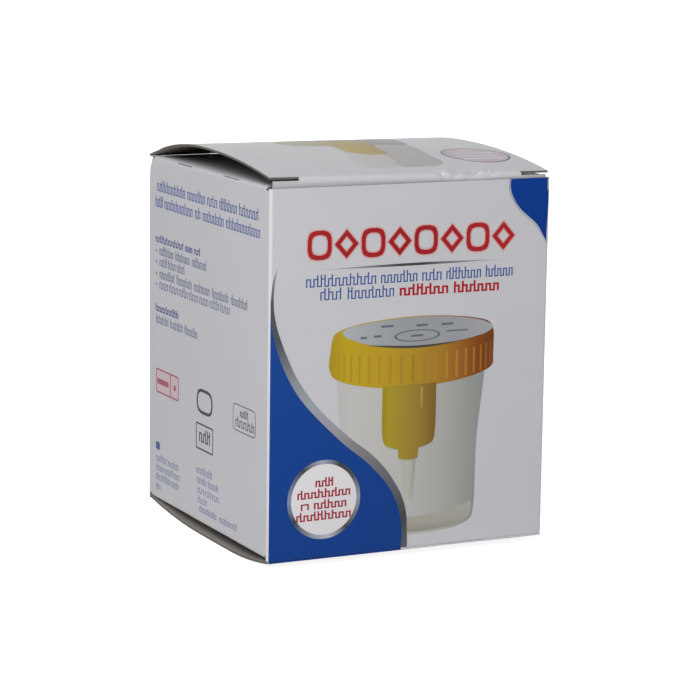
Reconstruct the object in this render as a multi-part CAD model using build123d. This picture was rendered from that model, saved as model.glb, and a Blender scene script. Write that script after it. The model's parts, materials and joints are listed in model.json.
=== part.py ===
from build123d import *
from math import atan2, cos, degrees, radians, sin, tan
import os

# A small tuck-end carton, folded and glued from one printed blank, with the
# screw-cap specimen container that it is sold with standing inside.
# Units are millimetres. +Z is up, the front wall faces -Y and the left wall -X.
# The origin is on the table, under the middle of the carton.

# Board and walls. The carton is cut to fit the container, with this much room.
CARD = 0.5                  # thickness of the folding board
ROOM_BESIDE = 3.5           # from the cap to the left and right walls
ROOM_BEHIND = 3.5           # from the cap to the front and back walls
ROOM_ABOVE = 8.35           # from the cap's top to the upper dust flaps
FOLD_RADIUS = 0.55          # middle of the board in the creases of the walls
HINGE_GAP = 0.15            # room between a wall's edge and the flap that turns on it
TUCK_GAP = 0.2              # room between a closed tuck and the wall in front of it

# Lid and bottom flap: each is one panel with a tuck along its far edge
PANEL_SIDE_GAP = 0.2        # from a side wall's outer face to the panel's side edge
LID_TUCK_SIDE_GAP = 0.9     # from a side wall's outer face to the lid's tuck
BOTTOM_TUCK_SIDE_GAP = 1.3  # the same at the bottom, where the tuck passes the glue flap
TUCK_LENGTH = 14.0          # straight part of a tuck
TUCK_CORNER = 7.0           # radius of a tuck's free corners
TUCK_EXTRA_LEAN = 1.0       # degrees of lean over what the tuck needs to swing clear
CREASE_RADIUS = 1.2         # middle of the board in the bend between panel and tuck
SLIT_LENGTH = 7.0           # cut at each end of that bend, which locks the flap
SLIT_TAB = 1.0              # how far the panel runs straight on, beside a slit
SLIT_STUB = 0.6             # how far the tuck runs straight on, to meet it

# How the lid bows outwards, from its hinge at the back to its front crease
LID_START_SLOPE = 25.0      # degrees outwards at the hinge
LID_SHOULDER = 7.0          # length over which most of that slope is lost
LID_SLOPE = 12.0            # degrees left after the shoulder
LID_CREST = 0.46            # place where the lid is highest, as a share of the depth
LID_CREST_FLAT = 0.5        # level stretch at the crest
LID_END_SLOPE = 9.5         # degrees back down at the front crease

# How the bottom flap bows outwards, from its hinge at the front to its back crease
BOTTOM_START_SLOPE = 9.0
BOTTOM_SHOULDER = 5.0
BOTTOM_SLOPE = 8.0
BOTTOM_CREST = 0.32         # place where the flat starts, as a share of the depth
BOTTOM_CREST_FLAT = 15.0    # the flat that the carton stands on
BOTTOM_END_SLOPE = 8.0

# Dust flaps, folded in from the side walls at top and bottom
DUST_LENGTH = 27.0
DUST_TOP_DROP = 2.0         # degrees that the top pair leans down towards its free edges
DUST_TOP_RISE = 0.35        # top of those creases over the front wall's cut edge
DUST_BOTTOM_LIFT = 0.75     # underside of the lower creases over the front wall's crease
DUST_TUCK_INSET = 2.0       # from the wall's outer face to the edge beside a tuck
DUST_HINGE_INSET = 1.5      # from the wall's outer face to the edge beside a hinge
DUST_TAPER = 4.5            # how far each edge draws in by the free end
DUST_CORNER = 4.0

# Short cuts through the creases, which let the board fold square
NICK_PLACE = 13.5           # middle of each cut, from the middle of its crease
NICK_WIDTH = 0.2
FLAP_NICK = 12.0            # length of the cuts in the lid's and the bottom flap's creases
DUST_NICK = 8.5             # length of the cuts in the dust flaps' creases

# Glue flap, inside the right wall
GLUE_WIDTH = 12.0
GLUE_END_GAP = 3.0          # from the side walls' creases
GLUE_END_SLOPE = 15.0       # degrees on its two cut ends
WALL_EDGE_GAP = 0.65        # from the back wall's outer face to the right wall's cut edge

# Specimen cup, moulded in clear polypropylene
CUP_HEIGHT = 72.0
CUP_DRAFT = 5.0             # degrees of taper below the neck
CUP_WALL = 1.2
CUP_SHOULDER = 0.8          # step from the neck in to the body
CUP_HEEL = 2.0              # height and width of the bevel that turns in to the foot
CUP_FOOT_WIDTH = 1.4        # ring that the cup stands on
CUP_FLOOR_LIFT = 0.8        # underside of the floor over the foot ring
NECK_HEIGHT = 12.5          # straight part at the mouth, inside the cap

# Screw cap, with the well for a sample tube moulded in its middle
CAP_RADIUS = 31.0
CAP_HEIGHT = 14.5
CAP_WALL = 1.3
CAP_TOP = 1.4
CAP_EDGE = 0.8              # bevel at the top edge
CAP_RIM = 2.7               # ring of the top that stands round the label's recess
CAP_BORE_GAP = 0.9          # room for the threads, between the cap and the cup's neck
SEAL_GAP = 0.25             # between the cup's rim and the underside of the cap
RIB_COUNT = 60
RIB_DEPTH = 0.5
RIB_GROOVE_SHARE = 0.5      # share of a rib's pitch that is groove
RIB_TOP_BAND = 2.4          # plain band over the grooves
RIB_BOTTOM_BAND = 1.6       # plain band under the grooves
LABEL_THICKNESS = 0.2
LABEL_SINK = 0.35           # depth of the recess that takes the label
LABEL_GAP = 0.3             # room round the label's edge
WELL_RADIUS = 10.0          # outside
WELL_DEPTH = 38.5           # from the bottom of the label's recess to the well's underside
WELL_WALL = 1.2
WELL_FLOOR = 1.6
SPIGOT_RADIUS = 3.8         # boss under the well, which holds the draw tube
SPIGOT_LENGTH = 4.5

# Needle, rubber sleeve and draw tube
PRESS_GAP = 0.03            # room drawn round a part that is pressed or glued in
NEEDLE_RADIUS = 0.45
NEEDLE_BORE = 0.28
NEEDLE_UP = 16.0            # above the well's floor
NEEDLE_DOWN = 3.0           # below the well's underside
NEEDLE_POINT_SLOPE = 60.0   # degrees of the cut across its point
SLEEVE_RADIUS = 2.1
SLEEVE_WALL = 0.7
SLEEVE_OVER = 2.0           # rubber above the needle's point
SLEEVE_FOOT = 1.5           # solid rubber at its foot
TUBE_RADIUS = 2.5           # draw tube, where it is pushed into the boss
TUBE_TIP_RADIUS = 2.0       # draw tube, at its open end
TUBE_TAPER = 3.0            # length over which it narrows to that
TUBE_BORE = 1.5
TUBE_SEAT = 4.0             # length pushed into the boss
TUBE_FLOOR_GAP = 8.0        # from the tube's open end to the cup's floor

# The container's own heights: 0 is the cup's foot ring
NECK_RADIUS = CAP_RADIUS - CAP_WALL - CAP_BORE_GAP
LABEL_RADIUS = CAP_RADIUS - CAP_RIM - LABEL_GAP
CAP_UNDER = CUP_HEIGHT + SEAL_GAP           # underside of the cap's top
CAP_HIGH = CAP_UNDER + CAP_TOP
LABEL_SEAT = CAP_HIGH - LABEL_SINK
WELL_LOW = LABEL_SEAT - WELL_DEPTH          # underside of the well
WELL_SHELF = WELL_LOW + WELL_FLOOR          # top face of the well's floor
SPIGOT_LOW = WELL_LOW - SPIGOT_LENGTH
CUP_FLOOR = CUP_FLOOR_LIFT + CUP_WALL       # top face of the cup's floor

# The carton's outside sizes, from the container and the room round it
SHELF_LIFT = DUST_BOTTOM_LIFT + CARD        # top of the lower dust flaps over the front crease
WIDTH = 2 * (CAP_RADIUS + ROOM_BESIDE + CARD)
DEPTH = 2 * (CAP_RADIUS + ROOM_BEHIND + CARD)
WALL_HEIGHT = SHELF_LIFT + CAP_HIGH + ROOM_ABOVE + CARD - DUST_TOP_RISE
HALF_W = WIDTH / 2
HALF_D = DEPTH / 2
HALF_CARD = CARD / 2
BIG = 3 * (WIDTH + DEPTH + WALL_HEIGHT)     # larger than anything here


# Board in section: a bent strip is drawn as runs of its middle line

def chord_share(a, b):
    """Chord of an arc over its length, for a heading that turns from a to b degrees."""
    half = radians(abs(b - a)) / 2
    return sin(half) / half if half > 1e-9 else 1.0


def run_end(point, heading, run):
    """Point and heading where a run ends. A run is (length, degrees that it turns)."""
    length, turn = run
    chord = length * chord_share(heading, heading + turn)
    middle = radians(heading + turn / 2)
    return (point[0] + chord * cos(middle), point[1] + chord * sin(middle)), heading + turn


def path_end(point, heading, runs):
    """Point and heading at the end of several runs."""
    for run in runs:
        point, heading = run_end(point, heading, run)
    return point, heading


def beside(point, heading, offset):
    """Point at that distance to the left of a middle line."""
    angle = radians(heading)
    return (point[0] - offset * sin(angle), point[1] + offset * cos(angle))


def board_section(point, heading, runs, round_start=False):
    """Face of a strip of board whose middle line starts at point and follows the runs."""
    edges = []
    first = (point, heading)
    for length, turn in runs:
        half_way = run_end(point, heading, (length / 2, turn / 2))
        end = run_end(point, heading, (length, turn))
        for offset in (HALF_CARD, -HALF_CARD):
            a, m, b = (beside(p, h, offset) for p, h in ((point, heading), half_way, end))
            edges.append(ThreePointArc(a, m, b) if turn else Line(a, b))
        point, heading = end
    edges.append(Line(beside(point, heading, HALF_CARD), beside(point, heading, -HALF_CARD)))
    a, b = beside(*first, HALF_CARD), beside(*first, -HALF_CARD)
    if round_start:
        behind = run_end(*first, (-HALF_CARD, 0))[0]
        edges.append(ThreePointArc(a, behind, b))
    else:
        edges.append(Line(a, b))
    return make_face(edges)


def arc_run(radius, turn):
    """Run that turns by that many degrees at that radius."""
    return (radius * radians(abs(turn)), turn)


# Places that the flaps share. A flap is drawn with its hinge at the origin, its
# panel along +Y to the opposite wall, and outwards as +Z.

HINGE_TO_WALL = DEPTH - HALF_CARD - CARD        # hinge to the opposite wall's inner face
BEND_CENTRE = HINGE_TO_WALL - TUCK_GAP - HALF_CARD - CREASE_RADIUS
TUCK_LEAN = degrees(atan2(TUCK_LENGTH + CREASE_RADIUS, 2 * HINGE_TO_WALL)) + TUCK_EXTRA_LEAN
PANEL_HALF = HALF_W - PANEL_SIDE_GAP


def bow_runs(start_slope, shoulder, slope, crest, crest_flat, end_slope):
    """Runs of a bowed panel from its hinge to the start of the bend above its tuck."""
    shoulder_run = (shoulder, slope - start_slope)
    shoulder_reach = run_end((0, 0), start_slope, shoulder_run)[0][0]
    climb = crest * DEPTH - HALF_CARD - shoulder_reach
    climb_run = (climb / (cos(radians(slope / 2)) * chord_share(slope, 0)), -slope)
    bend_start = BEND_CENTRE + CREASE_RADIUS * sin(radians(end_slope))
    fall = bend_start - (crest * DEPTH - HALF_CARD) - crest_flat
    fall_run = (fall / (cos(radians(end_slope / 2)) * chord_share(0, end_slope)), -end_slope)
    return [shoulder_run, climb_run, (crest_flat, 0), fall_run]


LID_RUNS = bow_runs(LID_START_SLOPE, LID_SHOULDER, LID_SLOPE,
                    LID_CREST, LID_CREST_FLAT, LID_END_SLOPE)
BOTTOM_RUNS = bow_runs(BOTTOM_START_SLOPE, BOTTOM_SHOULDER, BOTTOM_SLOPE,
                       BOTTOM_CREST, BOTTOM_CREST_FLAT, BOTTOM_END_SLOPE)

# Heights over the table
BOTTOM_DEPTH = path_end((0, 0), BOTTOM_START_SLOPE, BOTTOM_RUNS[:2])[0][1]
BOTTOM_HINGE_Z = BOTTOM_DEPTH + HALF_CARD
FRONT_LOW = BOTTOM_HINGE_Z + HALF_CARD + HINGE_GAP
FRONT_HIGH = BOTTOM_HINGE_Z + WALL_HEIGHT
BACK_LOW = BOTTOM_HINGE_Z
BACK_HIGH = BACK_LOW + WALL_HEIGHT
LID_HINGE_Z = BACK_HIGH + HALF_CARD + HINGE_GAP
SIDE_LOW = BOTTOM_HINGE_Z + DUST_BOTTOM_LIFT + HALF_CARD + FOLD_RADIUS
SIDE_HIGH = FRONT_HIGH + DUST_TOP_RISE - HALF_CARD - FOLD_RADIUS
SHELF_Z = BOTTOM_HINGE_Z + SHELF_LIFT


def strip(face, low, high):
    """Solid of a section in the Y-Z plane, between two places along X."""
    return extrude(Plane.YZ.offset(low) * face, amount=high - low)


def both_ends(face, inner, outer):
    """Two solids of a section, one at each end of a flap."""
    return strip(face, inner, outer) + strip(face, -outer, -inner)


def tuck_flap(start_slope, runs, tuck_half):
    """Panel, bend and tuck in one piece, with slits at the ends of the bend."""
    start, slope = path_end((0, 0), start_slope, runs)
    bend_run = arc_run(CREASE_RADIUS, -(90 + slope + TUCK_LEAN))
    bottom, down = run_end(start, slope, bend_run)
    slit_end = PANEL_HALF - SLIT_LENGTH
    panel = strip(board_section((0, 0), start_slope, runs, round_start=True),
                  -PANEL_HALF, PANEL_HALF)
    bend = strip(board_section(start, slope, [bend_run]), -slit_end, slit_end)
    tuck = strip(board_section(bottom, down, [(TUCK_LENGTH, 0)]), -tuck_half, tuck_half)
    tuck = fillet(tuck.edges().filter_by(lambda e: is_free_corner(e)), TUCK_CORNER)
    tabs = both_ends(board_section(start, slope, [(SLIT_TAB, 0)]), slit_end, PANEL_HALF)
    back = run_end(bottom, down, (-SLIT_STUB, 0))[0]
    stub = both_ends(board_section(back, down, [(SLIT_STUB, 0)]), slit_end, tuck_half)
    flap = panel + bend + tuck + tabs + stub
    for side in (-1, 1):
        flap -= Pos(side * NICK_PLACE, 0, 0) * Box(FLAP_NICK, 2 * NICK_WIDTH, BIG)
    return flap


def is_free_corner(edge):
    """Whether an edge of a tuck is one of the two short ones at its free corners."""
    ends = [v.Z for v in edge.vertices()]
    return abs(edge.length - CARD) < CARD / 10 and max(ends) < -TUCK_LENGTH / 2


def lid():
    flap = tuck_flap(LID_START_SLOPE, LID_RUNS, HALF_W - LID_TUCK_SIDE_GAP)
    return Pos(0, HALF_D - HALF_CARD, LID_HINGE_Z) * Rot(0, 0, 180) * flap


def bottom_flap():
    flap = tuck_flap(BOTTOM_START_SLOPE, BOTTOM_RUNS, HALF_W - BOTTOM_TUCK_SIDE_GAP)
    return Pos(0, HALF_CARD - HALF_D, BOTTOM_HINGE_Z) * Rot(0, 180, 0) * flap


# Carton body: four walls, glue flap and four dust flaps, all one folded blank

def wall_loop():
    """Plan of the right, front, left and back walls, from the right wall's cut edge."""
    corner = arc_run(FOLD_RADIUS, -90)
    side = DEPTH - CARD - 2 * FOLD_RADIUS
    front = WIDTH - CARD - 2 * FOLD_RADIUS
    start = (HALF_W - HALF_CARD, HALF_D - WALL_EDGE_GAP)
    right = start[1] + HALF_D - HALF_CARD - FOLD_RADIUS
    return board_section(start, -90, [
        (right, 0), corner, (front, 0), corner, (side, 0), corner, (front - CARD, 0)])


def glue_flap():
    """Strip that the back wall runs into, which is glued inside the right wall."""
    start = (HALF_W - HALF_CARD - CARD - FOLD_RADIUS, HALF_D - HALF_CARD)
    plan = board_section(start, 0, [arc_run(FOLD_RADIUS, -90), (GLUE_WIDTH, 0)])
    low, high = SIDE_LOW + GLUE_END_GAP, SIDE_HIGH - GLUE_END_GAP
    drop = GLUE_WIDTH * tan(radians(GLUE_END_SLOPE))
    near, far = HALF_D, HALF_D - FOLD_RADIUS - GLUE_WIDTH - CARD
    outline = make_face(Polyline(
        (near, low), (near, high), (far, high - drop), (far, low + drop), (near, low)))
    return extrude(Pos(0, 0, low) * plan, amount=high - low) & strip(outline, 0, WIDTH)


def dust_flap(drop, tuck_side):
    """Left dust flap for a crease at the origin that turns from +Z to +X."""
    section = board_section((0, 0), 90, [arc_run(FOLD_RADIUS, -90 - drop), (DUST_LENGTH, 0)])
    flap = extrude(Plane.XZ * section, amount=HALF_D, both=True)
    reach = DUST_LENGTH + 2 * FOLD_RADIUS
    near, far = HALF_D - DUST_TUCK_INSET, HALF_D - DUST_HINGE_INSET
    ends = Polyline(
        (-CARD, -near), (FOLD_RADIUS, -near), (reach, DUST_TAPER - near),
        (reach, far - DUST_TAPER), (FOLD_RADIUS, far), (-CARD, far), (-CARD, -near))
    outline = make_face(ends)
    corners = outline.vertices().filter_by(lambda v: v.X > DUST_LENGTH)
    cutter = extrude(fillet(corners, DUST_CORNER), amount=WIDTH, both=True)
    flap &= cutter
    half_way = (90 + drop) / 2
    for side in (-1, 1):
        nick = Rot(0, half_way, 0) * Box(BIG, DUST_NICK, NICK_WIDTH)
        flap -= Pos(FOLD_RADIUS, side * NICK_PLACE, 0) * nick
    return flap if tuck_side < 0 else flap.mirror(Plane.XZ)


def carton():
    body = extrude(Pos(0, 0, BACK_LOW) * wall_loop(), amount=FRONT_HIGH - BACK_LOW)
    between_folds = DEPTH - 2 * (HALF_CARD + FOLD_RADIUS)
    over_wall = 2 * (HALF_CARD + FOLD_RADIUS)
    body -= Pos(0, -HALF_D, FRONT_LOW - BIG / 2) * Box(BIG, over_wall, BIG)
    body -= Pos(0, HALF_D, BACK_HIGH + BIG / 2) * Box(BIG, over_wall, BIG)
    body -= Pos(0, 0, SIDE_HIGH + BIG / 2) * Box(BIG, between_folds, BIG)
    body -= Pos(0, 0, SIDE_LOW - BIG / 2) * Box(BIG, between_folds, BIG)
    body += glue_flap()
    upper = dust_flap(DUST_TOP_DROP, tuck_side=-1)
    lower = dust_flap(0, tuck_side=1).mirror(Plane.XY)
    left = HALF_CARD - HALF_W
    body += Pos(left, 0, SIDE_HIGH) * upper
    body += (Pos(left, 0, SIDE_HIGH) * upper).mirror(Plane.YZ)
    body += Pos(left, 0, SIDE_LOW) * lower
    body += (Pos(left, 0, SIDE_LOW) * lower).mirror(Plane.YZ)
    return body


# Container, drawn with the cup's foot ring at height 0

def turned(*points):
    """Solid turned about Z from an outline of (radius, height) points."""
    return revolve(Plane.XZ * make_face(Polyline(*points, close=True)), Axis.Z)


def specimen_cup():
    """Tapered cup on a foot ring. Its neck is straight outside, its bore one smooth cone."""
    neck_low = CUP_HEIGHT - NECK_HEIGHT

    def body_radius(height):
        fall = (neck_low - height) * tan(radians(CUP_DRAFT))
        return NECK_RADIUS - CUP_SHOULDER - fall

    base = body_radius(CUP_HEEL)
    foot = base - CUP_HEEL
    foot_in = foot - CUP_FOOT_WIDTH
    return turned(
        (0, CUP_FLOOR_LIFT), (foot_in, CUP_FLOOR_LIFT), (foot_in, 0), (foot, 0),
        (base, CUP_HEEL), (body_radius(neck_low), neck_low), (NECK_RADIUS, neck_low),
        (NECK_RADIUS, CUP_HEIGHT), (body_radius(CUP_HEIGHT) - CUP_WALL, CUP_HEIGHT),
        (body_radius(CUP_FLOOR) - CUP_WALL, CUP_FLOOR), (0, CUP_FLOOR))


def rib_grooves():
    """Upright grooves round the cap's skirt, which leave its ribs standing."""
    high = CAP_HIGH - RIB_TOP_BAND
    low = CAP_HIGH - CAP_HEIGHT + RIB_BOTTOM_BAND
    width = 2 * CAP_RADIUS * sin(radians(180 / RIB_COUNT)) * RIB_GROOVE_SHARE
    groove = Box(2 * RIB_DEPTH, width, high - low)
    return [place * groove for place in
            Pos(0, 0, (high + low) / 2) * PolarLocations(CAP_RADIUS, RIB_COUNT)]


def screw_cap():
    """Ribbed cap with the tube well and the draw tube's boss, moulded in one."""
    low = CAP_HIGH - CAP_HEIGHT
    bore = CAP_RADIUS - CAP_WALL
    recess = LABEL_RADIUS + LABEL_GAP
    shell = turned(
        (0, CAP_UNDER), (bore, CAP_UNDER), (bore, low), (CAP_RADIUS, low),
        (CAP_RADIUS, CAP_HIGH - CAP_EDGE), (CAP_RADIUS - CAP_EDGE, CAP_HIGH),
        (recess, CAP_HIGH), (recess, LABEL_SEAT), (0, LABEL_SEAT))
    shell -= rib_grooves()
    shell += turned((0, WELL_LOW), (WELL_RADIUS, WELL_LOW),
                    (WELL_RADIUS, LABEL_SEAT), (0, LABEL_SEAT))
    shell += turned((0, SPIGOT_LOW), (SPIGOT_RADIUS, SPIGOT_LOW),
                    (SPIGOT_RADIUS, WELL_SHELF), (0, WELL_SHELF))
    seat = TUBE_RADIUS + PRESS_GAP
    hole = NEEDLE_RADIUS + PRESS_GAP
    for radius, bottom, top in (
            (WELL_RADIUS - WELL_WALL, WELL_SHELF, CAP_HIGH),
            (seat, SPIGOT_LOW, SPIGOT_LOW + TUBE_SEAT),
            (hole, SPIGOT_LOW, CAP_HIGH)):
        shell -= turned((0, bottom), (radius, bottom), (radius, top), (0, top))
    return shell


def cap_label():
    """Round label in the cap's recess, which closes the well's mouth."""
    top = LABEL_SEAT + LABEL_THICKNESS
    return turned((0, LABEL_SEAT), (LABEL_RADIUS, LABEL_SEAT), (LABEL_RADIUS, top), (0, top))


def needle():
    """Steel cannula through the well's floor, open at both ends."""
    low, high = WELL_LOW - NEEDLE_DOWN, WELL_SHELF + NEEDLE_UP
    tube = turned((NEEDLE_BORE, low), (NEEDLE_RADIUS, low),
                  (NEEDLE_RADIUS, high), (NEEDLE_BORE, high))
    point = Pos(0, 0, high - NEEDLE_RADIUS) * Rot(NEEDLE_POINT_SLOPE, 0, 0)
    return tube - point * Box(BIG, BIG, BIG, align=(Align.CENTER, Align.CENTER, Align.MIN))


def needle_sleeve():
    """Rubber sleeve that covers the needle and seals it when no tube is pushed on."""
    bore = SLEEVE_RADIUS - SLEEVE_WALL
    hole = NEEDLE_RADIUS + PRESS_GAP
    foot = WELL_SHELF + SLEEVE_FOOT
    tip = WELL_SHELF + NEEDLE_UP + SLEEVE_OVER
    roof = tip - SLEEVE_WALL
    return turned(
        (hole, WELL_SHELF), (SLEEVE_RADIUS, WELL_SHELF), (SLEEVE_RADIUS, tip), (0, tip),
        (0, roof), (bore, roof), (bore, foot), (hole, foot))


def draw_tube():
    """Tapered tube from the boss down towards the cup's floor."""
    low = CUP_FLOOR + TUBE_FLOOR_GAP
    high = SPIGOT_LOW + TUBE_SEAT
    return turned((TUBE_BORE, low), (TUBE_TIP_RADIUS, low), (TUBE_RADIUS, low + TUBE_TAPER),
                  (TUBE_RADIUS, high), (TUBE_BORE, high))


def save(name, solid):
    export_step(solid, f"parts/{name}.step")


os.makedirs("parts", exist_ok=True)
save("carton", carton())
save("lid", lid())
save("bottom_flap", bottom_flap())
for make in (specimen_cup, screw_cap, cap_label, needle, needle_sleeve, draw_tube):
    save(make.__name__, Pos(0, 0, SHELF_Z) * make())
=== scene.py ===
import bpy
import bmesh
import json
import random
from math import ceil, cos, exp, floor, hypot, pi, radians, sin
from mathutils import Matrix, Vector
from mathutils.bvhtree import BVHTree


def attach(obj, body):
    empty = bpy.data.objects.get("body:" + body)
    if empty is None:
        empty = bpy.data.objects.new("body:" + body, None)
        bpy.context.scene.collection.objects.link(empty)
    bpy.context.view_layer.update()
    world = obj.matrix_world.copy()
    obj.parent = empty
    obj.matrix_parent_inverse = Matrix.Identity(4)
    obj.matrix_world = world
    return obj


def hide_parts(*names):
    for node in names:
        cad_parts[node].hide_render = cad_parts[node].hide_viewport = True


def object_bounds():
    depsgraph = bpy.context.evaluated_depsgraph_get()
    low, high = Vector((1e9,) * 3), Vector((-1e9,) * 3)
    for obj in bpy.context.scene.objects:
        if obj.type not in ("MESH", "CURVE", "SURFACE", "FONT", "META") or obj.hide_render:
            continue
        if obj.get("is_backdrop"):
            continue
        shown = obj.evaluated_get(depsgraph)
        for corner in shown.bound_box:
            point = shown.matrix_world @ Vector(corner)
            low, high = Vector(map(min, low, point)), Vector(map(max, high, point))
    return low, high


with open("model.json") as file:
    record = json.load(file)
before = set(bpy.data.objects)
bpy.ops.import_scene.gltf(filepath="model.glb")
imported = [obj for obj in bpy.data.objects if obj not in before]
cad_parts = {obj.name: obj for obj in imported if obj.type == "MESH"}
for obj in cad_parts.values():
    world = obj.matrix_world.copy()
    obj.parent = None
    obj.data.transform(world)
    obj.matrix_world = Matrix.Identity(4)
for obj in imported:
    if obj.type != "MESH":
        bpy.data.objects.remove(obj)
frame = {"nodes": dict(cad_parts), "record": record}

scene = bpy.context.scene
cad_low, cad_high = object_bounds()


# Camera
# A long lens looks from in front of the left wall, a little above the lid. It
# turns round a point near the middle of the carton.

MM = 0.001
AZIMUTH = radians(-26.2721105)
ELEVATION = radians(10.16856965)
ROLL = radians(0.80706481)
DISTANCE = 640.102344 * MM
AIM_HEIGHT = 44.192 * MM
AIM_RIGHT = 1.80359943 * MM
AIM_UP = -2.04363094 * MM
SENSOR = 36.0
LENS = 139.608

backward = Vector((
    sin(AZIMUTH) * cos(ELEVATION), -cos(AZIMUTH) * cos(ELEVATION), sin(ELEVATION)))
level = Vector((cos(AZIMUTH), sin(AZIMUTH), 0))
upright = backward.cross(level)
right = cos(ROLL) * level + sin(ROLL) * upright
up = cos(ROLL) * upright - sin(ROLL) * level
aim = Vector((0, 0, AIM_HEIGHT)) + AIM_RIGHT * right + AIM_UP * up

camera = bpy.data.objects.new("camera", bpy.data.cameras.new("camera"))
camera.data.sensor_width = SENSOR
camera.data.lens = LENS
camera.data.clip_start = 0.01
camera.data.clip_end = 20
camera.matrix_world = Matrix.Translation(aim + DISTANCE * backward) @ Matrix(
    (right, up, backward)).transposed().to_4x4()
scene.collection.objects.link(camera)
scene.camera = camera


# Light, floor and background
# Even daylight, one softbox high in front on the left and a weak one behind. The
# camera sees the world and the floor as plain white, with a faint shadow on it.

def linear(colour):
    """Linear colour, with alpha 1, of an sRGB hex value."""
    parts = [int(colour[i:i + 2], 16) / 255 for i in (1, 3, 5)]
    return [c / 12.92 if c <= 0.04045 else ((c + 0.055) / 1.055) ** 2.4 for c in parts] + [1]


def add(tree, kind, settings={}, sockets={}):
    """Adds a node. A socket takes a value, or another node's output that is linked to it."""
    node = tree.nodes.new(kind)
    for name, value in settings.items():
        setattr(node, name, value)
    for name, value in sockets.items():
        if isinstance(value, bpy.types.NodeSocket):
            tree.links.new(value, node.inputs[name])
        else:
            node.inputs[name].default_value = value
    return node


def seen_directly(tree):
    """1 for what the camera sees, straight, in a reflection or through something clear."""
    path = add(tree, "ShaderNodeLightPath")
    seen = path.outputs["Is Camera Ray"]
    for name in ("Is Glossy Ray", "Is Transmission Ray"):
        both = add(tree, "ShaderNodeMath", {"operation": "MAXIMUM"},
                   {0: seen, 1: path.outputs[name]})
        seen = both.outputs[0]
    return seen


DAYLIGHT = 0.22             # strength of the even light
SOFTBOX_SIZE = 0.6
SOFTBOX_DISTANCE = 1.0

world = bpy.data.worlds.new("studio")
world.use_nodes = True
scene.world = world
air = world.node_tree
air.nodes.clear()
even = add(air, "ShaderNodeBackground", {}, {"Color": linear("#FFFFFF"), "Strength": DAYLIGHT})
white = add(air, "ShaderNodeBackground", {}, {"Color": linear("#FFFFFF"), "Strength": 1.0})
mixed = add(air, "ShaderNodeMixShader", {},
            {0: seen_directly(air), 1: even.outputs[0], 2: white.outputs[0]})
add(air, "ShaderNodeOutputWorld", {}, {"Surface": mixed.outputs[0]})


def softbox(name, azimuth, elevation, watts):
    """Square lamp that faces the middle of the carton."""
    lamp = bpy.data.objects.new(name, bpy.data.lights.new(name, "AREA"))
    lamp.data.size = SOFTBOX_SIZE
    lamp.data.energy = watts
    toward = Vector((sin(azimuth) * cos(elevation), -cos(azimuth) * cos(elevation), sin(elevation)))
    lamp.location = Vector((0, 0, AIM_HEIGHT)) + SOFTBOX_DISTANCE * toward
    lamp.rotation_euler = toward.to_track_quat("Z", "Y").to_euler()
    scene.collection.objects.link(lamp)


FRONT_WATTS = 9.6
BACK_WATTS = 0.8
softbox("front_softbox", radians(-41), radians(38), FRONT_WATTS)
softbox("back_softbox", radians(150), radians(5), BACK_WATTS)

FLOOR_HALF = 3.0
FLOOR_GLOW = 0.86           # plain white that the camera sees, under the light that falls on it

floor_mesh = bmesh.new()
bmesh.ops.create_grid(floor_mesh, x_segments=1, y_segments=1, size=FLOOR_HALF)
floor_data = bpy.data.meshes.new("floor")
floor_mesh.to_mesh(floor_data)
ground = bpy.data.objects.new("floor", floor_data)
scene.collection.objects.link(ground)
paper = bpy.data.materials.new("white_backdrop_paper")
paper.use_nodes = True
tree = paper.node_tree
tree.nodes.clear()
matt = add(tree, "ShaderNodeBsdfDiffuse", {}, {"Color": linear("#E4E4E4")})
glow = add(tree, "ShaderNodeEmission", {}, {"Color": linear("#FFFFFF"), "Strength": FLOOR_GLOW})
lit = add(tree, "ShaderNodeAddShader", {}, {0: matt.outputs[0], 1: glow.outputs[0]})
mixed = add(tree, "ShaderNodeMixShader", {},
            {0: seen_directly(tree), 1: matt.outputs[0], 2: lit.outputs[0]})
add(tree, "ShaderNodeOutputMaterial", {}, {"Surface": mixed.outputs[0]})
floor_data.materials.append(paper)
ground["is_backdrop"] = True


# Folding board
# White-lined board, coated and varnished outside and plain grey inside. The coat
# is nearly matt. Its folds are paler, partly from rubbed coat and partly as a painted
# highlight. Pulp shows at cut edges, which are darkened further as painted shade.

BOARD_THICKNESS = 0.5 * MM
FIBRE = 0.35 * MM           # width of the fibres that show through the coat
UNEVEN = 14.0 * MM          # size of the soft patches in a large sheet
FOLD_FROM = 34.25 * MM      # where the rounded folds between the walls start


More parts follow.
